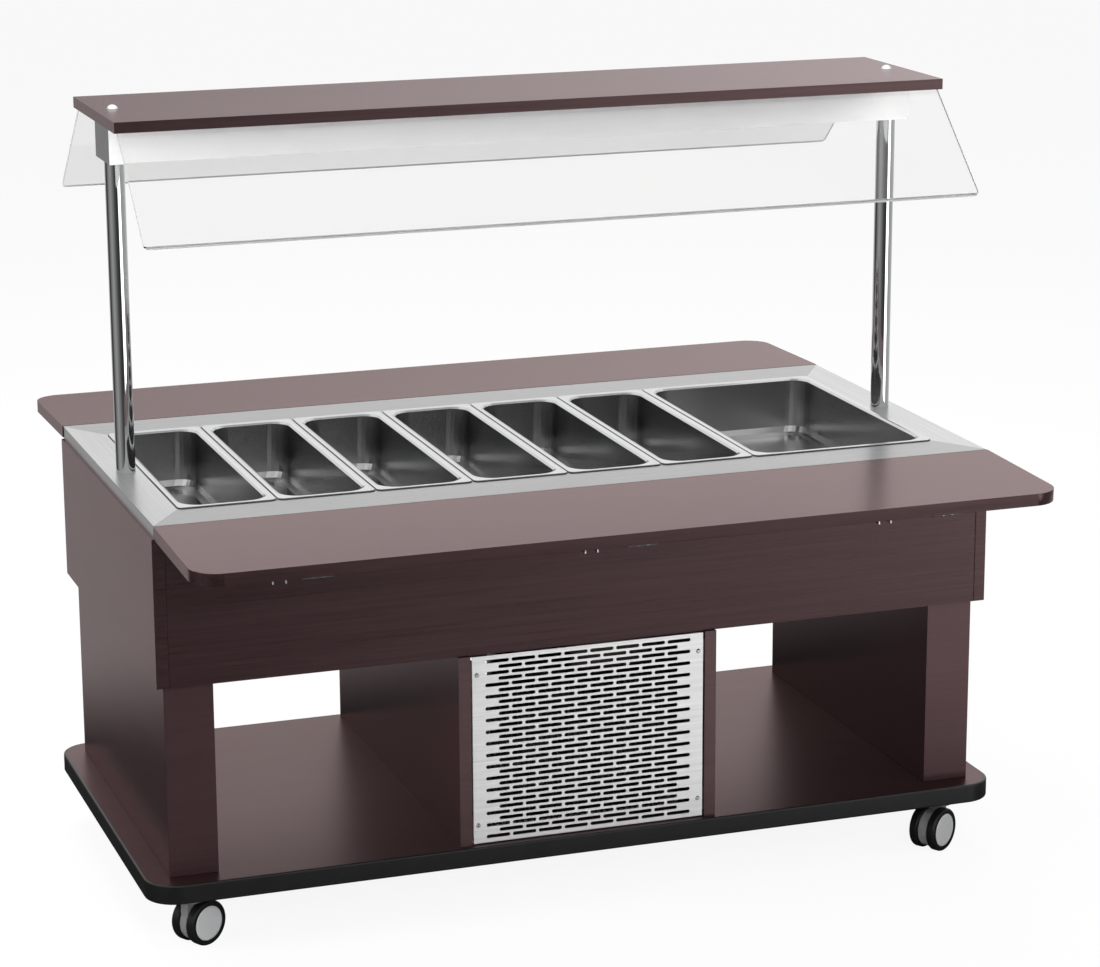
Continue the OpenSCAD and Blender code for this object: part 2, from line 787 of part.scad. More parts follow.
module pane_outline(grow) {
    r = 8;
    at_pane() translate([0, glass_t / 2 + grow, 0]) rotate([90, 0, 0])
        linear_extrude(glass_t + 2 * grow) {
            translate([-glass_len / 2 - grow, -glass_w + r])
                square([glass_len + 2 * grow, glass_w - r + groove - 1 + grow]);
            translate([-glass_len / 2 + r, -glass_w]) square([glass_len - 2 * r, r + 1]);
            for (s = [-1, 1]) translate([s * (glass_len / 2 - r), -glass_w + r]) circle(r);
        }
}

module canopy_board() {
    color(wood) difference() {
        block([-canopy_len / 2, -canopy_dep / 2, under_board], [canopy_len / 2, canopy_dep / 2, canopy_h]);
        for (s = [0, 1]) mirror([0, s, 0]) pane_outline(clear / 2);
        for (s = [-1, 1]) translate([s * post_x, 0, under_board - 1])
            cylinder(h = canopy_t + 2, d = stud_d + clear);
    }
}

module front_glass() {
    color("#cfe0e0") pane_outline(0);
}

module rear_glass() {
    mirror([0, 1, 0]) front_glass();
}

module light_box() {
    low = under_board - box_h;
    window = [2 * (post_x - window_in), box_dep - 2 * window_rim];
    color(steel) difference() {
        block([-box_len / 2, -box_dep / 2, low], [box_len / 2, box_dep / 2, under_board]);
        block([-box_len / 2 + sheet, -box_dep / 2 + sheet, low + sheet],
              [box_len / 2 - sheet, box_dep / 2 - sheet, under_board + 1]);
        translate([0, 0, low]) cube([window[0], window[1], 3 * sheet], center = true);
        for (s = [-1, 1]) translate([s * post_x, 0, low - 1])
            cylinder(h = sheet + 2, d = post_d + 2 * clear);
    }
}

module lamp() {
    half = post_x - lamp_in;
    over = half + batten_over;
    batten_low = under_board - batten_h;
    axis = batten_low - tube_d / 2 - 9;
    color("#f4f4f0") {
        block([-over, -batten_w / 2, batten_low], [over, batten_w / 2, under_board]);
        x_bar(-half, half, 0, axis, tube_d);
        for (s = [-1, 1]) translate([s * (half + 6), 0, 0])
            block([-7, -11, axis - tube_d / 2], [7, 11, batten_low]);
    }
}

module canopy_posts() {
    low = body_low + floor_t;
    color(steel) for (s = [-1, 1]) translate([s * post_x, 0, 0]) {
        difference() {
            translate([0, 0, low]) cylinder(h = under_board - low, d = post_d);
            translate([0, 0, low - 1]) cylinder(h = under_board - low - 19, d = post_d - 2 * post_wall);
        }
        translate([0, 0, under_board]) cylinder(h = canopy_t + nut_h - 3, d = stud_d);
    }
}

module dome_nuts() {
    color(steel) for (s = [-1, 1]) translate([s * post_x, 0, canopy_h]) difference() {
        rotate_extrude() intersection() {
            translate([0, nut_h - nut_d * nut_d / 8 / nut_h - nut_h / 2])
                circle(nut_d * nut_d / 8 / nut_h + nut_h / 2, $fn = 128);
            square([nut_d / 2, nut_h]);
        }
        translate([0, 0, -1]) cylinder(h = nut_h - 1.5, d = stud_d + 2 * fit);
    }
}

// Fold-down shelves on three folding brackets each. Everything is drawn for the front,
// about the hinge pin, and mirrored for the rear.

hinge_y = -front + hinge_out;
hinge_z = counter_h - shelf_t - hinge_down;
bracket_xs = [-bracket_pitch, 0, bracket_pitch];
plate = 2;
wall_half = 11.5;
arm_half = 8.5;
lug_r = 7;
flange_out = 9;
link_half = 6;
link_t = 3;
link_lane = 0.4;
arm_flange = 8;
wall_end = 14;
catch_w = 48;
catch_d = 9;

// The straight stay at rest spans from the lower pivot to the upper pivot
rise = stay_drop - stay_reach * sin(droop);
run = stay_reach * cos(droop);
open_span = sqrt(rise * rise + run * run);
shut_span = stay_reach - stay_drop;
lower_l = (open_span - shut_span) / 2;
upper_l = (open_span + shut_span) / 2;
stay_angle = atan2(rise, run);

module at_hinge() {
    translate([0, -hinge_y, hinge_z]) children();
}

module shelf() {
    inner = hinge_out - shelf_gap;
    color(wood) at_hinge() rotate([droop, 0, 0]) translate([0, inner - shelf_dep, hinge_down])
        linear_extrude(shelf_t) {
            l = steel_len + 2 * shelf_reveal;
            translate([-l / 2, shelf_r]) square([l, shelf_dep - shelf_r]);
            translate([-l / 2 + shelf_r, 0]) square([l - 2 * shelf_r, shelf_r + 1]);
            for (s = [-1, 1]) translate([s * (l / 2 - shelf_r), shelf_r]) circle(shelf_r);
        }
}

module front_shelf() {
    shelf();
}

module rear_shelf() {
    mirror([0, 1, 0]) shelf();
}

// Wall channel of one bracket, with the hinge pin and the stub of the lower pivot
module wall_arm() {
    low = -stay_drop - wall_end;
    back = hinge_out;
    block([-wall_half, back - plate, low], [wall_half, back, flange_out]);
    for (s = [0, 1]) mirror([s, 0, 0]) {
        block([wall_half - plate, -flange_out, low], [wall_half, back, 0]);
        block([wall_half - plate, 0, -1], [wall_half, back, flange_out]);
        x_bar(wall_half - plate, wall_half, 0, 0, 2 * flange_out);
    }
    x_bar(-wall_half, wall_half, 0, 0, pin_d);
    x_bar(0, wall_half, 0, -stay_drop, pin_d);
}

module wall_arms() {
    color(zinc) for (s = [0, 1]) mirror([0, s, 0]) at_hinge()
        for (x = bracket_xs) translate([x, 0, 0]) wall_arm();
}

// Channel under the shelf, with lugs at its two pivots and the catch at its outer end
module shelf_arm() {
    top = hinge_down;
    difference() {
        union() {
            block([-arm_half, -arm_len, top - plate], [arm_half, lug_r, top]);
            for (s = [0, 1]) mirror([s, 0, 0]) {
                block([arm_half - plate, -arm_len, top - arm_flange], [arm_half, lug_r, top]);
                for (y = [0, -stay_reach]) {
                    block([arm_half - plate, y - lug_r, 0], [arm_half, y + lug_r, top]);
                    x_bar(arm_half - plate, arm_half, y, 0, 2 * lug_r);
                }
            }
            x_bar(-arm_half, arm_half, -stay_reach, 0, pin_d);
            x_bar(-catch_w / 2, catch_w / 2, -arm_len + catch_d / 2, top - catch_d / 2 - 1, catch_d);
        }
        x_bar(-wall_half, wall_half, 0, 0, pin_d + 2 * fit);
    }
}

module shelf_arms() {
    color(zinc) at_hinge() rotate([droop, 0, 0]) for (x = bracket_xs) translate([x, 0, 0]) shelf_arm();
}

module front_shelf_arms() {
    shelf_arms();
}

module rear_shelf_arms() {
    mirror([0, 1, 0]) shelf_arms();
}

// A flat link along -Y from its pivot, with a bore there and a rivet at the far end
module link(x0, length) {
    difference() {
        union() {
            block([x0, -length, -link_half], [x0 + link_t, 0, link_half]);
            for (y = [0, -length]) x_bar(x0, x0 + link_t, y, 0, 2 * link_half);
        }
        x_bar(x0 - 1, x0 + link_t + 1, 0, 0, pin_d + 2 * fit);
    }
}

module lower_links() {
    color(zinc) at_hinge() for (x = bracket_xs) translate([x, 0, -stay_drop])
        rotate([-stay_angle, 0, 0]) {
            link(link_lane, lower_l);
            x_bar(link_lane + link_t - 1, link_lane + link_t + 1, -lower_l, 0, pin_d + 2);
        }
}

module upper_links() {
    color(zinc) at_hinge() for (x = bracket_xs)
        translate([x, -run, -stay_reach * sin(droop)]) rotate([-stay_angle, 0, 0]) mirror([0, 1, 0]) {
            link(-link_lane - link_t, upper_l);
            x_bar(-link_lane - link_t - 1, -link_lane - link_t + 1, -upper_l, 0, pin_d + 2);
        }
}

module front_lower_links() {
    lower_links();
}

module rear_lower_links() {
    mirror([0, 1, 0]) lower_links();
}

module front_upper_links() {
    upper_links();
}

module rear_upper_links() {
    mirror([0, 1, 0]) upper_links();
}

base_board();
bumper();
castor_plates();
castor_housing(0);  // castor_fl_housing
castor_housing(1);  // castor_fr_housing
castor_housing(2);  // castor_rl_housing
castor_housing(3);  // castor_rr_housing
castor_tyres(0);  // castor_fl_tyres
castor_tyres(1);  // castor_fr_tyres
castor_tyres(2);  // castor_rl_tyres
castor_tyres(3);  // castor_rr_tyres
castor_hubs(0);  // castor_fl_hubs
castor_hubs(1);  // castor_fr_hubs
castor_hubs(2);  // castor_rl_hubs
castor_hubs(3);  // castor_rr_hubs
pedestals();
compartment_sides();
front_grille();
rear_panel();
panel_screws();
control_unit();
power_switch();
light_switch();
cable_gland();
unit_tray();
compressor();
condenser();
fan_motor();
fan_blades();
end_panels();
front_apron();
rear_apron();
body_floor();
insulation();
well_liner();
steel_top();
pan_bars();
pan(1);  // pan_1
pan(2);  // pan_2
pan(3);  // pan_3
pan(4);  // pan_4
pan(5);  // pan_5
pan(6);  // pan_6
pan(7);  // pan_7
canopy_board();
light_box();
lamp();
front_glass();
rear_glass();
canopy_posts();
dome_nuts();
front_shelf();
rear_shelf();
wall_arms();
front_shelf_arms();
rear_shelf_arms();
front_lower_links();
rear_lower_links();
front_upper_links();
rear_upper_links();
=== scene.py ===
import math

import bpy
from mathutils import Matrix, Vector


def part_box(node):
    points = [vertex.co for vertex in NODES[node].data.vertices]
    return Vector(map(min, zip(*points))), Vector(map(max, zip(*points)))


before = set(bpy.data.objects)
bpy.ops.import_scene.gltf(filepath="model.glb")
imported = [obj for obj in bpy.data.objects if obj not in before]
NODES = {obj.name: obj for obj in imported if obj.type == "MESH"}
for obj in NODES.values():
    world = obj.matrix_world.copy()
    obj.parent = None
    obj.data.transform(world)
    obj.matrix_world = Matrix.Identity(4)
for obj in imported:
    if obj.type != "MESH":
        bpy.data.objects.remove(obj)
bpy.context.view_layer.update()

# Node graphs

# Sockets of the Mix node in its colour mode, which share their names with other modes
MIX_A, MIX_B, MIX_OUT = 6, 7, 2
# A face counts as square to an axis when its normal has this share along it
SQUARE_TO = 0.8


class Tree:
    """A short way to write the nodes of one tree."""

    def __init__(self, tree):
        self.nodes, self.links = tree.nodes, tree.links
        self.coord = self.nodes.new("ShaderNodeTexCoord")

    def set(self, node, key, value):
        socket = node.inputs[key]
        if isinstance(value, bpy.types.NodeSocket):
            self.links.new(value, socket)
        elif isinstance(value, (tuple, list)) and len(value) == 3 and socket.type == "RGBA":
            socket.default_value = (*value, 1)
        else:
            socket.default_value = value

    def scaled(self, scale, shift=(0, 0, 0)):
        """Object coordinates, which at rest are metres in the shared frame, times a scale."""
        n = self.nodes.new("ShaderNodeMapping")
        self.set(n, "Vector", self.coord.outputs["Object"])
        self.set(n, "Scale", scale)
        self.set(n, "Location", shift)
        return n.outputs["Vector"]

    def noise(self, vector, detail=3.0, rough=0.5, distort=0.0):
        n = self.nodes.new("ShaderNodeTexNoise")
        for key, value in (("Vector", vector), ("Scale", 1.0), ("Detail", detail),
                           ("Roughness", rough), ("Distortion", distort)):
            self.set(n, key, value)
        return n.outputs["Fac"]

    def length(self, a, b):
        """Length of the vector (a, b)."""
        return self.math("SQRT", self.math("MULTIPLY_ADD", a, a, self.math("MULTIPLY", b, b)))

    def ramp(self, fac, *stops):
        """Colour ramp through (position, grey or colour) stops."""
        n = self.nodes.new("ShaderNodeValToRGB")
        self.set(n, "Fac", fac)
        els = n.color_ramp.elements
        while len(els) < len(stops):
            els.new(0.5)
        for el, (pos, value) in zip(els, stops):
            el.position = pos
            rgb = value if isinstance(value, (tuple, list)) else (value,) * 3
            el.color = (*rgb, 1)
        return n.outputs["Color"]

    def math(self, op, a, b=0.0, c=0.0):
        n = self.nodes.new("ShaderNodeMath")
        n.operation = op
        for i, value in enumerate((a, b, c)):
            self.set(n, i, value)
        return n.outputs[0]

    def step(self, value, low, high):
        """0 below low, 1 above high and a smooth step between."""
        n = self.nodes.new("ShaderNodeMapRange")
        n.interpolation_type = "SMOOTHSTEP"
        self.set(n, "Value", value)
        self.set(n, "From Min", low)
        self.set(n, "From Max", high)
        return n.outputs["Result"]

    def mix(self, fac, a, b, mode="MIX"):
        n = self.nodes.new("ShaderNodeMix")
        n.data_type = "RGBA"
        n.blend_type = mode
        self.set(n, "Factor", fac)
        self.set(n, MIX_A, a)
        self.set(n, MIX_B, b)
        return n.outputs[MIX_OUT]

    def blend(self, fac, a, b):
        """One shader over another."""
        n = self.nodes.new("ShaderNodeMixShader")
        self.set(n, 0, fac)
        self.set(n, 1, a)
        self.set(n, 2, b)
        return n.outputs[0]

    def split(self, vector):
        n = self.nodes.new("ShaderNodeSeparateXYZ")
        self.set(n, "Vector", vector)
        return n.outputs

    def bump(self, height, strength, distance):
        n = self.nodes.new("ShaderNodeBump")
        self.set(n, "Height", height)
        self.set(n, "Strength", strength)
        self.set(n, "Distance", distance)
        return n.outputs["Normal"]


class Graph(Tree):
    """The node tree of one Principled material."""

    def __init__(self, name, **sockets):
        self.mat = bpy.data.materials.new(name)
        self.mat.use_nodes = True
        super().__init__(self.mat.node_tree)
        self.bsdf = self.nodes["Principled BSDF"]
        self.into(**sockets)

    def into(self, **sockets):
        for key, value in sockets.items():
            self.set(self.bsdf, key.replace("_", " "), value)
        return self

    def facing(self, axis):
        """1 on faces square to the axis, 0 on the others."""
        n = self.nodes.new("ShaderNodeNewGeometry")
        part = self.split(n.outputs["True Normal"])["XYZ".index(axis)]
        return self.math("GREATER_THAN", self.math("ABSOLUTE", part), SQUARE_TO)


def along(axes, long, across):
    """A mapping scale that stretches a noise along the named axes."""
    return tuple(long if a in axes else across for a in "XYZ")


# Materials

WOOD_DARK = (0.0205, 0.0104, 0.0112)
WOOD_MID = (0.0265, 0.0138, 0.0148)
WOOD_LIGHT = (0.0350, 0.0188, 0.0200)
WOOD_GLOSS = (1.0, 0.72, 0.72)
# Half the length and half the width of the row of pans
ROW_HALF_X, ROW_HALF_Y = 0.650, 0.265


def wood(name, axes, edge=None, rough=0.2):
    """Satin laminate printed with a dark, fine, straight grain along the named axes. Its print
    tints the gloss too, as a half metallic surface does. The faces square to Y can carry a
    lighter edge band."""
    g = Graph(name, Metallic=0.45, Specular_IOR_Level=0.5, Specular_Tint=WOOD_GLOSS)
    broad = g.noise(g.scaled(along(axes, 1.3, 17)), detail=2)
    bands = g.noise(g.scaled(along(axes, 3.1, 150)), detail=5, rough=0.62, distort=0.15)
    fibres = g.noise(g.scaled(along(axes, 11, 820)), detail=3, rough=0.6)
    pores = g.noise(g.scaled(along(axes, 26, 1500), shift=(3, 7, 5)), detail=1)
    tone = g.math("MULTIPLY_ADD", bands, 0.62, g.math("MULTIPLY", fibres, 0.26))
    tone = g.math("MULTIPLY_ADD", broad, 0.30, tone)
    colour = g.ramp(tone, (0.44, WOOD_DARK), (0.59, WOOD_MID), (0.75, WOOD_LIGHT))
    if edge:
        low, high = (tuple(c * share for c in edge) for share in (0.88, 1.12))
        colour = g.mix(g.facing("Y"), colour, g.ramp(tone, (0.44, low), (0.75, high)))
    pore = g.ramp(pores, (0.60, 0.0), (0.70, 1.0))
    pore_colour = tuple(c * 0.6 for c in WOOD_DARK)
    g.into(Base_Color=g.mix(g.math("MULTIPLY", pore, 0.18), colour, pore_colour))
    g.into(Roughness=g.math("MULTIPLY_ADD", fibres, 0.08, rough))
    height = g.math("MULTIPLY_ADD", pore, -0.5, g.math("ADD", fibres, bands))
    return g.into(Normal=g.bump(height, 0.05, 0.0003)).mat


def steel(name, axis, colour=(0.60, 0.60, 0.605), rough=0.27, grain=0.25, metallic=1.0):
    """Stainless sheet with a fine brushed grain along one axis."""
    g = Graph(name, Metallic=metallic)
    lines = g.noise(g.scaled(along(axis, 7, 2600)), detail=2, rough=0.7)
    bands = g.noise(g.scaled(along(axis, 2, 240)), detail=3)
    cloud = g.noise(g.scaled((5, 5, 5)), detail=3)
    tone = g.math("MULTIPLY_ADD", lines, 0.5, g.math("MULTIPLY", bands, 0.5))
    low, high = tuple(c * 0.86 for c in colour), tuple(min(c * 1.10, 0.95) for c in colour)
    g.into(Base_Color=g.ramp(tone, (0.32, low), (0.66, high)))
    r = g.math("MULTIPLY_ADD", lines, 0.10, rough - 0.05)
    g.into(Roughness=g.math("MULTIPLY_ADD", cloud, 0.05, r))
    return g.into(Normal=g.bump(g.math("ADD", lines, bands), grain, 0.00005)).mat


def top_steel():
    """The counter's four steel bands, each brushed along its length, with mitred seams. The long
    bands carry painted shade and the short end bands painted light, standing in for how the same
    brushed steel catches the light along and across them.
    """
    seam_half, seam_depth, seam_start, skin = 0.00045, 3.0, 0.002, 0.0012
    g = Graph("steel_top_bands", Metallic=1.0)
    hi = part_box("steel_top")[1]
    x, y, z = g.split(g.coord.outputs["Object"])
    ax, ay = g.math("ABSOLUTE", x), g.math("ABSOLUTE", y)
    # signed distance across the seam from the outer corner to the corner of the pan row
    run = Vector((hi.x - ROW_HALF_X, hi.y - ROW_HALF_Y)).normalized()
    across = g.math("ADD", g.math("MULTIPLY", g.math("SUBTRACT", ax, ROW_HALF_X), run.y),
                    g.math("MULTIPLY", g.math("SUBTRACT", ay, ROW_HALF_Y), -run.x))
    end_band = g.math("GREATER_THAN", across, 0.0)
    tones = []
    for axis in "XY":
        lines = g.noise(g.scaled(along(axis, 7, 2400)), detail=2, rough=0.7)
        bands = g.noise(g.scaled(along(axis, 2.2, 260)), detail=3)
        tones.append(g.math("MULTIPLY_ADD", lines, 0.5, g.math("MULTIPLY", bands, 0.5)))
    tone = g.mix(end_band, tones[0], tones[1])
    # Painted shade and light: the long bands get a darker colour and the short end bands a lighter
    # one, though both are the same steel
    shaded_long_band = g.ramp(tone, (0.32, (0.25, 0.25, 0.254)), (0.66, (0.32, 0.32, 0.324)))
    lit_short_band = g.ramp(tone, (0.32, (0.38, 0.38, 0.386)), (0.66, (0.50, 0.50, 0.504)))
    colour = g.mix(end_band, shaded_long_band, lit_short_band)
    on_top = g.math("GREATER_THAN", z, hi.z - skin)
    near = g.math("LESS_THAN", g.math("ABSOLUTE", across), seam_half)
    outside = g.math("GREATER_THAN", ay, ROW_HALF_Y + seam_start)
    seam = g.math("MULTIPLY", g.math("MULTIPLY", near, outside), on_top)
    colour = g.mix(g.math("MULTIPLY", seam, 0.75), colour, (0.10, 0.10, 0.105))
    g.into(Base_Color=colour)
    cloud = g.noise(g.scaled((6, 6, 6)), detail=3)
    g.into(Roughness=g.math("MULTIPLY_ADD", cloud, 0.07, g.math("MULTIPLY_ADD", tone, 0.10, 0.20)))
    height = g.math("MULTIPLY_ADD", seam, -seam_depth, tone)
    return g.into(Normal=g.bump(height, 0.25, 0.00005)).mat


def pan_sheet(name):
    """Pressed steel of a food pan, with a painted shadow line along the outer edge of its rim,
    standing in for the shaded gap round the pan.
    """
    corner, line = 0.010, 0.0013
    lo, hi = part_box(name)
    mid, half = (lo + hi) / 2, (hi - lo) / 2
    g = Graph(f"{name}_sheet", Metallic=1.0)
    place = g.split(g.coord.outputs["Object"])
    # distance outward from a rectangle that is smaller by the corner's radius
    past = []
    for i in (0, 1):
        off = g.math("ABSOLUTE", g.math("SUBTRACT", place[i], mid[i]))
        past.append(g.math("SUBTRACT", off, half[i] - corner))
    round_corner = g.length(*(g.math("MAXIMUM", v, 0.0) for v in past))
    outward = g.math("ADD", round_corner, g.math("MINIMUM", g.math("MAXIMUM", *past), 0.0))
    # Painted shadow: a dark line along the rim's outer edge, where the gap round the pan lies in
    # shade
    gap_shadow = g.math("GREATER_THAN", outward, corner - line)
    lines = g.noise(g.scaled(along("Y", 7, 2600)), detail=2, rough=0.7)
    cloud = g.noise(g.scaled((5, 5, 5)), detail=3)
    skin = g.ramp(lines, (0.32, (0.40, 0.40, 0.404)), (0.66, (0.49, 0.49, 0.493)))
    g.into(Base_Color=g.mix(g.math("MULTIPLY", gap_shadow, 0.8), skin, (0.10, 0.10, 0.102)))
    g.into(Roughness=g.math("MULTIPLY_ADD", cloud, 0.05, g.math("MULTIPLY_ADD", lines, 0.10, 0.13)))
    return g.into(Normal=g.bump(lines, 0.06, 0.00005)).mat


def chrome():
    g = Graph("chrome_plate", Metallic=1.0)
    haze = g.noise(g.scaled((9, 9, 4)), detail=3)
    fine = g.noise(g.scaled((500, 500, 60)), detail=2)
    g.into(Base_Color=g.ramp(haze, (0.3, (0.70, 0.71, 0.72)), (0.7, (0.80, 0.805, 0.81))))
    return g.into(Roughness=g.math("MULTIPLY_ADD", haze, 0.05, 0.035),
                  Normal=g.bump(fine, 0.02, 0.0001)).mat


def plastic(name, colour, rough, scale=700.0, strength=0.12, spread=0.12, **more):
    """Moulded plastic or rubber: fine spark-eroded grain and a little colour drift."""
    g = Graph(name, **more)
    grain = g.noise(g.scaled((scale,) * 3), detail=2)
    drift = g.noise(g.scaled((22,) * 3), detail=3)
    low, high = (tuple(c * (1 + s * spread) for c in colour) for s in (-1, 1))
    g.into(Base_Color=g.ramp(drift, (0.3, low), (0.7, high)))
    g.into(Roughness=g.math("MULTIPLY_ADD", grain, 0.12, rough - 0.06))
    return g.into(Normal=g.bump(grain, strength, 0.0001)).mat


def zinc():
    g = Graph("zinc_plate", Metallic=1.0)
    cells = g.nodes.new("ShaderNodeTexVoronoi")
    g.set(cells, "Vector", g.scaled((160, 160, 160)))
    spangle = g.ramp(cells.outputs["Distance"],
                     (0.0, (0.52, 0.53, 0.54)), (0.8, (0.68, 0.69, 0.70)))
    haze = g.noise(g.scaled((40, 40, 40)), detail=4)
    g.into(Base_Color=g.mix(g.math("MULTIPLY", haze, 0.3), spangle, (0.38, 0.39, 0.41)))
    return g.into(Roughness=g.math("MULTIPLY_ADD", haze, 0.22, 0.24),
                  Normal=g.bump(haze, 0.08, 0.0002)).mat


def glass(name):
    """Clear safety glass with a faint grey cast and pale ground edges."""
    side_edge, low_edge = 0.0006, 0.0035
    lo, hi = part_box(name)
    g = Graph(f"{name}_pane", IOR=1.46)
    smear = g.noise(g.scaled((3, 3, 3)), detail=4)
    x, y, z = g.split(g.coord.outputs["Object"])
    side = g.math("GREATER_THAN", g.math("ABSOLUTE", x), hi.x - side_edge)
    edge = g.math("MAXIMUM", side, g.math("LESS_THAN", z, lo.z + low_edge))
    clear = g.ramp(smear, (0.3, (0.865, 0.862, 0.862)), (0.7, (0.885, 0.882, 0.882)))
    g.into(Base_Color=g.mix(edge, clear, (0.50, 0.51, 0.505)))
    g.into(Transmission_Weight=g.math("MULTIPLY_ADD", edge, -0.85, 1.0))
    haze = g.math("MULTIPLY", smear, 0.012)
    return g.into(Roughness=g.math("MULTIPLY_ADD", edge, 0.5, haze)).mat


def box_sheet():
    """Pale satin sheet of the lamp housing, whose end faces are painted a darker grey with more
    metal, as painted shade.
    """
    g = Graph("box_sheet")
    lines = g.noise(g.scaled(along("X", 5, 1500)), detail=2)
    end = g.facing("X")
    skin = g.ramp(lines, (0.35, (0.94, 0.94, 0.94)), (0.65, (0.97, 0.97, 0.97)))
    # Painted shade: the faces square to X take a dark grey, so the ends read darker than the front
    shaded_end_tone = g.ramp(lines, (0.35, (0.10, 0.10, 0.103)), (0.65, (0.13, 0.13, 0.133)))
    g.into(Base_Color=g.mix(end, skin, shaded_end_tone), Metallic=g.math("MULTIPLY_ADD", end, 0.43, 0.12))
    return g.into(Roughness=g.math("MULTIPLY_ADD", lines, 0.1, 0.28)).mat


def foam():
    g = Graph("cut_foam")
    cells = g.nodes.new("ShaderNodeTexVoronoi")
    g.set(cells, "Vector", g.scaled((900, 900, 900)))
    tone = g.noise(g.scaled((14, 14, 14)), detail=4)
    g.into(Base_Color=g.ramp(tone, (0.3, (0.62, 0.50, 0.24)), (0.7, (0.74, 0.62, 0.34))),
           Roughness=0.9)
    return g.into(Normal=g.bump(cells.outputs["Distance"], 0.5, 0.0006)).mat


def lamp_white():
    g = Graph("opal_lamp")
    tone = g.noise(g.scaled((60, 60, 60)), detail=2)
    g.into(Base_Color=g.ramp(tone, (0.3, (0.76, 0.76, 0.74)), (0.7, (0.84, 0.84, 0.82))))
    return g.into(Roughness=g.math("MULTIPLY_ADD", tone, 0.1, 0.22)).mat


def fins():
    g = Graph("fin_aluminium", Metallic=1.0)
    lines = g.noise(g.scaled((1300, 30, 30)), detail=2)
    # The fins are near black, far darker than bare aluminium: partly a dark finish and partly
    # painted shade that keeps the grille's slots dark
    g.into(Base_Color=g.ramp(lines, (0.35, (0.07, 0.072, 0.075)), (0.65, (0.12, 0.122, 0.126))))
    return g.into(Roughness=g.math("MULTIPLY_ADD", lines, 0.2, 0.34)).mat


def dress(material, *names):
    for name in names:
        ob = NODES[name]
        ob.data.materials.clear()
        ob.data.materials.append(material)


# Points closer than this are joined first, and edges that turn by more than this are rounded
JOIN_WITHIN, SHARP = 0.00002, math.radians(50)


def ease(width, *names, segments=2):
    """Rounds a node's sharp edges a little, without moving the node or its mesh."""
    for name in names:
        ob = NODES[name]
        ob.modifiers.new("weld", "WELD").merge_threshold = JOIN_WITHIN
        bevel = ob.modifiers.new("ease", "BEVEL")
        bevel.width = width
        bevel.segments = segments
        bevel.limit_method = "ANGLE"
        bevel.angle_limit = SHARP
        bevel.harden_normals = True
        bevel.use_clamp_overlap = True


CASTORS = ("fl", "fr", "rl", "rr")
PANS = [f"pan_{i}" for i in range(1, 8)]
BRACKET_PARTS = ("shelf_arms", "lower_links", "upper_links")
BRACKETS = ["wall_arms", *(f"{end}_{part}" for end in ("front", "rear") for part in BRACKET_PARTS)]

dress(wood("wood_long", "X"), "front_apron", "rear_apron", "body_floor", "canopy_board",
      "front_shelf", "rear_shelf")
dress(wood("wood_base", "X", rough=0.3), "base_board")
dress(wood("wood_compartment", "XY", (0.062, 0.038, 0.039)), "compartment_sides")
dress(wood("wood_level", "XY"), "end_panels")
dress(wood("wood_pedestal", "XY", (0.044, 0.024, 0.026)), "pedestals")
dress(plastic("bumper_rubber", (0.0055, 0.0056, 0.0058), 0.36, 420, 0.12,
              Specular_IOR_Level=0.3), "bumper")
dress(zinc(), "castor_plates", "unit_tray", *BRACKETS)
dress(steel("screw_steel", "X", (0.62, 0.62, 0.62), 0.22), "panel_screws")
castor_grey = plastic("castor_grey", (0.33, 0.333, 0.337), 0.34, 600, 0.10, 0.05)
castor_dark = plastic("castor_housing_grey", (0.15, 0.152, 0.155), 0.30, 600, 0.12)
castor_tyre = plastic("tyre_rubber", (0.0055, 0.0055, 0.0058), 0.36, 300, 0.2,
                      Specular_IOR_Level=0.35)
for c in CASTORS:
    dress(castor_grey, f"castor_{c}_hubs")
    dress(castor_dark, f"castor_{c}_housing")
    dress(castor_tyre, f"castor_{c}_tyres")
dress(steel("grille_steel", "X", (0.71, 0.71, 0.712), 0.38, 0.15, 0.75),
      "front_grille", "rear_panel")
dress(top_steel(), "steel_top")
dress(steel("well_steel", "X", (0.58, 0.58, 0.585), 0.24), "well_liner")
dress(steel("bar_steel", "Y", (0.60, 0.60, 0.605), 0.24), "pan_bars")
for pan in PANS:
    dress(pan_sheet(pan), pan)
dress(box_sheet(), "light_box")
dress(chrome(), "canopy_posts", "dome_nuts")
dress(plastic("fascia_black", (0.016, 0.016, 0.017), 0.34), "control_unit")
dress(plastic("gland_black", (0.02, 0.02, 0.021), 0.5), "cable_gland")
dress(plastic("unit_enamel", (0.011, 0.011, 0.012), 0.25, 90, 0.15, Coat_Weight=0.4),
      "compressor", "fan_motor")
dress(plastic("fan_plastic", (0.035, 0.038, 0.042), 0.42), "fan_blades")
dress(fins(), "condenser")
dress(plastic("rocker_red", (0.33, 0.018, 0.014), 0.22, 900, 0.05), "power_switch")
dress(plastic("rocker_green", (0.02, 0.20, 0.06), 0.22, 900, 0.05), "light_switch")
dress(foam(), "insulation")
dress(lamp_white(), "lamp")
for pane in ("front_glass", "rear_glass"):
    dress(glass(pane), pane)

ease(0.0012, "front_shelf", "rear_shelf", segments=3)
ease(0.0008, "end_panels", "front_apron", "rear_apron", "pedestals", "base_board",
     "compartment_sides")
ease(0.0006, "control_unit")
ease(0.0012, *PANS)

# Camera, fitted to the edges in the photograph

IMAGE_W = 1100
FOCAL_PX = 3325.36
SENSOR = 36
AZ, EL, ROLL = (math.radians(a) for a in (-19.258, 14.456, -0.274))
TARGET = Vector((0.058975, 0.0, 0.625316))
DISTANCE = 5.68104

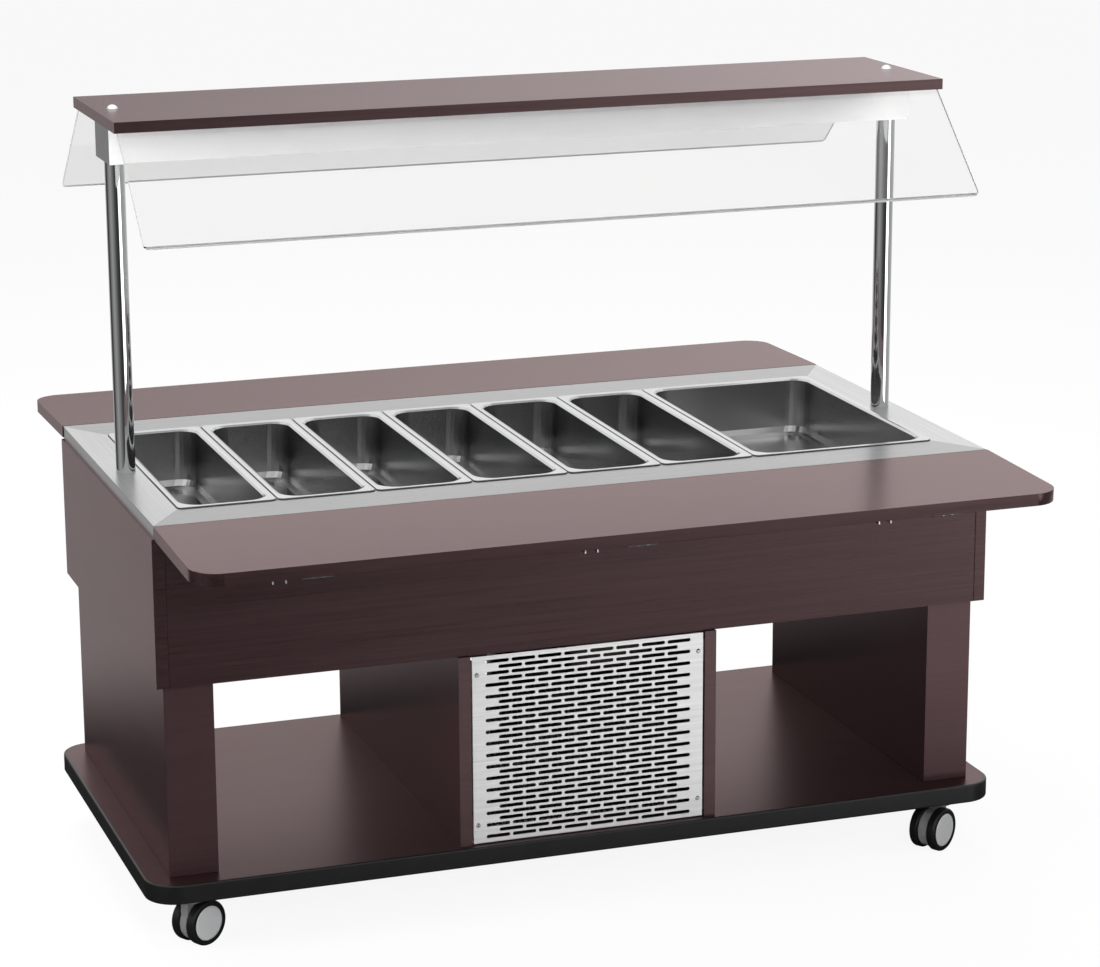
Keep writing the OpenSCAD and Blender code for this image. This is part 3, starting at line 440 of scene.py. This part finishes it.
back = Vector((math.sin(AZ) * math.cos(EL), -math.cos(AZ) * math.cos(EL), math.sin(EL)))
right = (-back).cross(Vector((0, 0, 1))).normalized()
up = right.cross(-back)
side = right * math.cos(ROLL) + up * math.sin(ROLL)
over = up * math.cos(ROLL) - right * math.sin(ROLL)
turned = Matrix((side, over, back)).transposed().to_4x4()
camera = bpy.data.objects.new("camera", bpy.data.cameras.new("camera"))
bpy.context.scene.collection.objects.link(camera)
camera.matrix_world = Matrix.Translation(TARGET + back * DISTANCE) @ turned
camera.data.sensor_width = SENSOR
camera.data.lens = SENSOR * FOCAL_PX / IMAGE_W
camera.data.clip_start, camera.data.clip_end = 0.1, 200
bpy.context.scene.camera = camera

# Stage

FLOOR_SIZE = 120
# Share of plain white in what the camera sees of the floor; the rest is lit and keeps the shadow
FLOOR_GLOW = 0.9
# In reflections the floor carries a painted shadow: it is dim in and round a rectangle under the
# object, given as its half sizes and the shift of its middle to the rear. From there it fades to
# the studio's tone between two distances. Where it is dim, it keeps this share of the lit floor.
DIM_HALF, DIM_SHIFT = (0.74, 0.4), 0.1
DIM_FADE = (0.15, 0.88)
DIM_SHARE = 0.04


def floor_material():
    """Pale floor: near white to the camera, with the object's shadow, and to reflections a painted
    shadow round the object.
    """
    g = Graph("studio_floor", Roughness=0.9, Specular_IOR_Level=0.0)
    cloud = g.noise(g.scaled((2, 2, 2)), detail=2)
    g.into(Base_Color=g.ramp(cloud, (0.3, (0.92, 0.92, 0.92)), (0.7, (0.94, 0.94, 0.94))))
    glow, dark = (g.nodes.new("ShaderNodeEmission") for _ in range(2))
    g.set(glow, "Color", (1, 1, 1))
    g.set(dark, "Color", (0, 0, 0))
    clear = g.nodes.new("ShaderNodeBsdfTransparent")
    path = g.nodes.new("ShaderNodeLightPath").outputs
    seen = g.math("MAXIMUM", path["Is Camera Ray"], path["Is Transmission Ray"])
    x, y, z = g.split(g.coord.outputs["Object"])
    away = g.length(*(g.math("MAXIMUM", g.math("SUBTRACT", g.math("ABSOLUTE", v), half), 0.0)
                      for v, half in zip((x, g.math("SUBTRACT", y, DIM_SHIFT)), DIM_HALF)))
    plain = g.blend(g.math("MULTIPLY", seen, FLOOR_GLOW), g.bsdf.outputs[0], glow.outputs[0])
    # Painted shadow: reflections see the floor near the object mostly dark
    dim = g.blend(DIM_SHARE, dark.outputs[0], g.bsdf.outputs[0])
    mirrored = g.blend(g.step(away, *DIM_FADE), dim, clear.outputs[0])
    g.set(g.nodes["Material Output"], "Surface", g.blend(path["Is Glossy Ray"], plain, mirrored))
    return g.mat


bpy.ops.mesh.primitive_plane_add(size=FLOOR_SIZE)
floor = bpy.context.object
floor.name = "studio_floor"
floor.data.materials.append(floor_material())

# The world is white to the camera and through glass, and an even grey to the object. Its
# reflections show a studio in neutral tones by direction, as (degrees from +X towards +Y, tone).
AMBIENT = 0.42
BELOW = ((-180, 0.27), (-160, 0.35), (-112, 0.07), (-78, 0.02), (-48, 0.1), (-37, 0.38), (0, 0.42),
         (60, 0.70), (78, 0.85), (92, 0.55), (118, 0.46), (131, 0.05), (150, 0.05), (180, 0.27))
LEVEL = ((-180, 0.4), (-90, 0.3), (0, 0.5), (45, 1.1), (62, 1.0), (70, 0.5), (79, 0.08), (92, 0.1),
         (130, 0.3), (180, 0.4))
ABOVE = ((-180, 0.6), (-90, 0.8), (0, 0.7), (40, 1.1), (60, 1.5), (95, 1.5), (130, 0.8),
         (180, 0.6))
CEILING = 1.5
# A bright panel in front on the right is added to the tones below the horizon: its share by
# direction times the base, and times the gain as well above its lower edge
PANEL = ((-180, 0.0), (-78, 0.0), (-60, 1.0), (-50, 1.0), (-42, 0.0), (180, 0.0))
PANEL_BASE, PANEL_GAIN = 0.3, 4.7
# Heights of the unit direction between which the gain sets in, and one zone turns into the next
PANEL_RISE = (-0.33, -0.23)
TO_LEVEL, TO_ABOVE, TO_CEILING = (-0.03, 0.06), (0.155, 0.215), (0.45, 0.75)
# Ramps end at 1, so they hold this share of a tone, and the strength makes up for it
RAMP_SHARE = 0.5

world = bpy.data.worlds.new("studio")
bpy.context.scene.world = world
world.use_nodes = True
w = Tree(world.node_tree)
x, y, z = w.split(w.coord.outputs["Generated"])
turn = w.math("MULTIPLY_ADD", w.math("ARCTAN2", y, x), 0.5 / math.pi, 0.5)


def round_about(stops):
    """Ramp of tones by direction, each at its share."""
    return w.ramp(turn, *((deg / 360 + 0.5, tone * RAMP_SHARE) for deg, tone in stops))


below, level, above, panel = (round_about(stops) for stops in (BELOW, LEVEL, ABOVE, PANEL))
panel_tone = w.math("MULTIPLY_ADD", w.step(z, *PANEL_RISE), PANEL_GAIN, PANEL_BASE)
below = w.mix(1.0, below, w.mix(1.0, panel, panel_tone, "MULTIPLY"), "ADD")
tone = w.mix(w.step(z, *TO_LEVEL), below, level)
tone = w.mix(w.step(z, *TO_ABOVE), tone, above)
tone = w.mix(w.step(z, *TO_CEILING), tone, (CEILING * RAMP_SHARE,) * 3)
plain, white, mirrored = (w.nodes.new("ShaderNodeBackground") for _ in range(3))
w.set(plain, "Color", (1, 1, 1))
w.set(plain, "Strength", AMBIENT)
w.set(white, "Color", (1, 1, 1))
w.set(mirrored, "Color", tone)
w.set(mirrored, "Strength", 1 / RAMP_SHARE)
path = w.nodes.new("ShaderNodeLightPath").outputs
seen = w.math("MAXIMUM", path["Is Camera Ray"], path["Is Transmission Ray"])
surface = w.blend(path["Is Glossy Ray"], plain.outputs[0], mirrored.outputs[0])
w.set(w.nodes["World Output"], "Surface", w.blend(seen, surface, white.outputs[0]))


def softbox(name, place, target, width, height, power, through_glass=False):
    """A soft lamp that lights the object but isn't mirrored in it. Where it shines through the
    glass it can be seen through it too."""
    lamp = bpy.data.lights.new(name, "AREA")
    lamp.shape = "RECTANGLE"
    lamp.size, lamp.size_y, lamp.energy = width, height, power
    ob = bpy.data.objects.new(name, lamp)
    bpy.context.scene.collection.objects.link(ob)
    ob.location = place
    ob.rotation_mode = "QUATERNION"
    ob.rotation_quaternion = (Vector(target) - Vector(place)).to_track_quat("-Z", "Y")
    ob.visible_camera = ob.visible_glossy = False
    ob.visible_transmission = through_glass


softbox("left", (-4.2, -0.8, 2.6), (0, 0, 0.7), 2.6, 2.6, 150)
softbox("right", (4.4, -3.0, 1.7), (0.2, 0, 0.6), 1.8, 2.4, 60)
softbox("top", (-0.2, 2.2, 4.4), (0, 0, 0.6), 3.6, 2.4, 150)
softbox("front", (-0.4, -5.2, 2.6), (0, 0, 0.8), 3.2, 1.8, 190, through_glass=True)

bpy.context.scene.view_settings.view_transform = "Standard"
